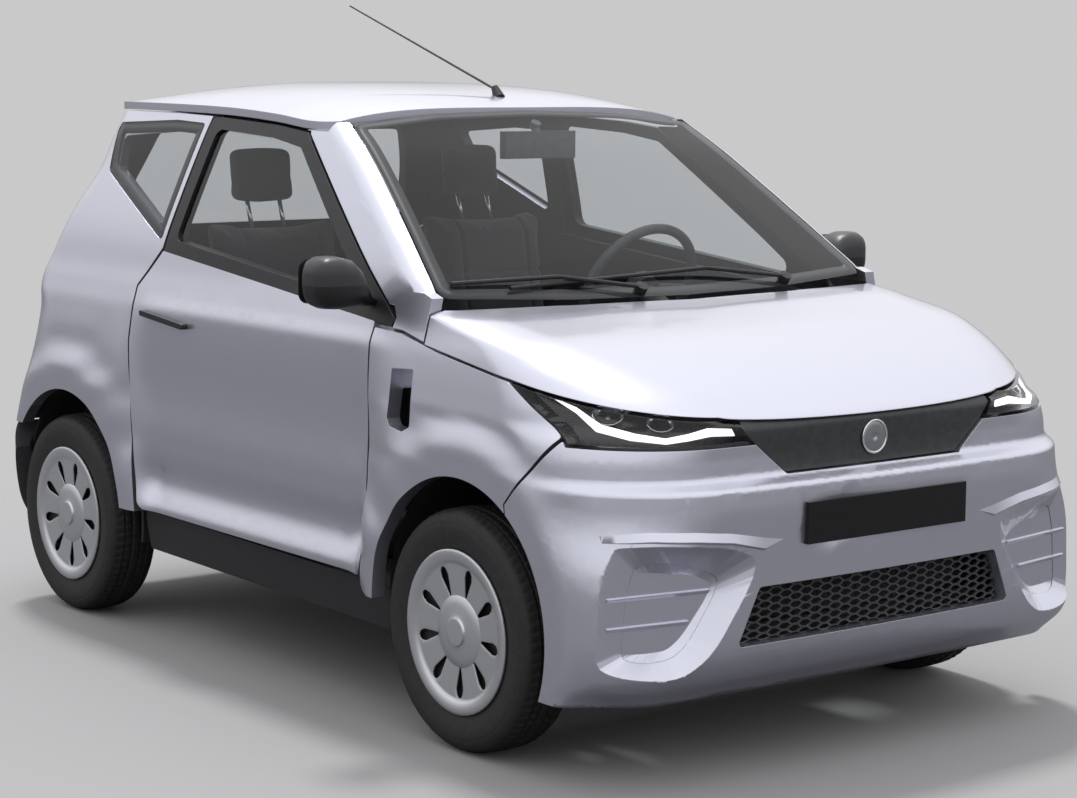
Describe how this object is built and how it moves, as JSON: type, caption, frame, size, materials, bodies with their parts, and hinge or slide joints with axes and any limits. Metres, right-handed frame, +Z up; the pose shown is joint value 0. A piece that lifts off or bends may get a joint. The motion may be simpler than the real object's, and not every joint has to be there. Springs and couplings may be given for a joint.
{
  "type": "microcar",
  "caption": "Small two-seat city car with hinged doors, bonnet and tailgate, steered front wheels and free-turning wheels, shown as parked.",
  "frame": {"origin": "on the ground, under the centre of the car's overall box", "axes": "+X to the car's left, -Y forwards, +Z up; the car stands on z = 0"},
  "size_m": [1.712, 2.758, 1.666],
  "materials": {
    "paint": "metallic silver lilac",
    "glass": "tinted",
    "black_plastic": "fine grain",
    "dark_gloss": "gloss black",
    "grille_grey": "dark grey",
    "lamp_lens": "clear",
    "tail_lens": "red",
    "trim": "soft grained",
    "seat_cloth": "woven",
    "chassis": "black",
    "engine_alloy": "cast",
    "hubcap": "silver lacquer",
    "tyre": "matte"
  },
  "bodies": {
    "body": {"front_plate": "black_plastic", "front_wing_left": "paint", "front_wing_right": "paint", "front_bumper": "paint", "lower_grille": "black_plastic", "grille_panel": "grille_grey", "headlamps": "lamp_lens", "windscreen": "glass", "a_pillars": "paint", "roof": "paint", "side_panel_left": "paint", "side_panel_right": "paint", "quarter_windows": "glass", "tail_lamps": "tail_lens", "rear_bumper": "paint", "floor_pan": "chassis", "bulkhead": "chassis", "front_frame": "chassis", "side_skirts": "black_plastic", "front_liners": "chassis", "rear_liners": "chassis", "dashboard": "trim", "seat_left": "seat_cloth", "seat_right": "seat_cloth", "interior_mirror": "trim", "engine": "engine_alloy", "front_subframe": "chassis", "rear_axle": "chassis", "wipers": "black_plastic", "aerial": "black_plastic"},
    "door_left": {"door_left": "paint", "window_frame_left": "dark_gloss", "door_glass_left": "glass", "door_mirror_left": "black_plastic", "door_handle_left": "black_plastic"},
    "knuckle_left": {"knuckle_left": "chassis"},
    "wheel_front_left": {"tyre_front_left": "tyre", "wheel_front_left": "hubcap"},
    "wheel_rear_left": {"tyre_rear_left": "tyre", "wheel_rear_left": "hubcap"},
    "door_right": {"door_right": "paint", "window_frame_right": "dark_gloss", "door_glass_right": "glass", "door_mirror_right": "black_plastic", "door_handle_right": "black_plastic"},
    "knuckle_right": {"knuckle_right": "chassis"},
    "wheel_front_right": {"tyre_front_right": "tyre", "wheel_front_right": "hubcap"},
    "wheel_rear_right": {"tyre_rear_right": "tyre", "wheel_rear_right": "hubcap"},
    "bonnet": {"bonnet": "paint"},
    "tailgate": {"tailgate": "paint", "tailgate_glass": "glass"},
    "steering_wheel": {"steering_wheel": "trim"}
  },
  "joints": [
    {"name": "door_left_hinge", "type": "hinge", "parent": "body", "child": "door_left", "pos_m": [0.735, -0.52, 0.6], "axis": [0, 0, -1], "range_deg": [0, 65]},
    {"name": "steer_left", "type": "hinge", "parent": "body", "child": "knuckle_left", "pos_m": [0.652, -0.785, 0.272], "axis": [0, 0, 1], "range_deg": [-30, 30]},
    {"name": "wheel_front_left_spin", "type": "hinge", "parent": "knuckle_left", "child": "wheel_front_left", "pos_m": [0.66, -0.785, 0.272], "axis": [1, 0, 0], "continuous": true},
    {"name": "wheel_rear_left_spin", "type": "hinge", "parent": "body", "child": "wheel_rear_left", "pos_m": [0.66, 1.049, 0.272], "axis": [1, 0, 0], "continuous": true},
    {"name": "door_right_hinge", "type": "hinge", "parent": "body", "child": "door_right", "pos_m": [-0.735, -0.52, 0.6], "axis": [0, 0, 1], "range_deg": [0, 65]},
    {"name": "steer_right", "type": "hinge", "parent": "body", "child": "knuckle_right", "pos_m": [-0.652, -0.785, 0.272], "axis": [0, 0, 1], "range_deg": [-30, 30]},
    {"name": "wheel_front_right_spin", "type": "hinge", "parent": "knuckle_right", "child": "wheel_front_right", "pos_m": [-0.66, -0.785, 0.272], "axis": [1, 0, 0], "continuous": true},
    {"name": "wheel_rear_right_spin", "type": "hinge", "parent": "body", "child": "wheel_rear_right", "pos_m": [-0.66, 1.049, 0.272], "axis": [1, 0, 0], "continuous": true},
    {"name": "bonnet_hinge", "type": "hinge", "parent": "body", "child": "bonnet", "pos_m": [0, -0.6, 0.985], "axis": [-1, 0, 0], "range_deg": [0, 55]},
    {"name": "tailgate_hinge", "type": "hinge", "parent": "body", "child": "tailgate", "pos_m": [0, 1.086, 1.41], "axis": [1, 0, 0], "range_deg": [0, 75]},
    {"name": "steering_wheel_turn", "type": "hinge", "parent": "body", "child": "steering_wheel", "pos_m": [0.345, -0.112, 0.93], "axis": [0, 0.9063, 0.4226], "range_deg": [-450, 450]}
  ],
  "couplings": [
    {"joint": "steer_right", "follows": "steer_left", "ratio": 1},
    {"joint": "steering_wheel_turn", "follows": "steer_left", "ratio": 15}
  ]
}
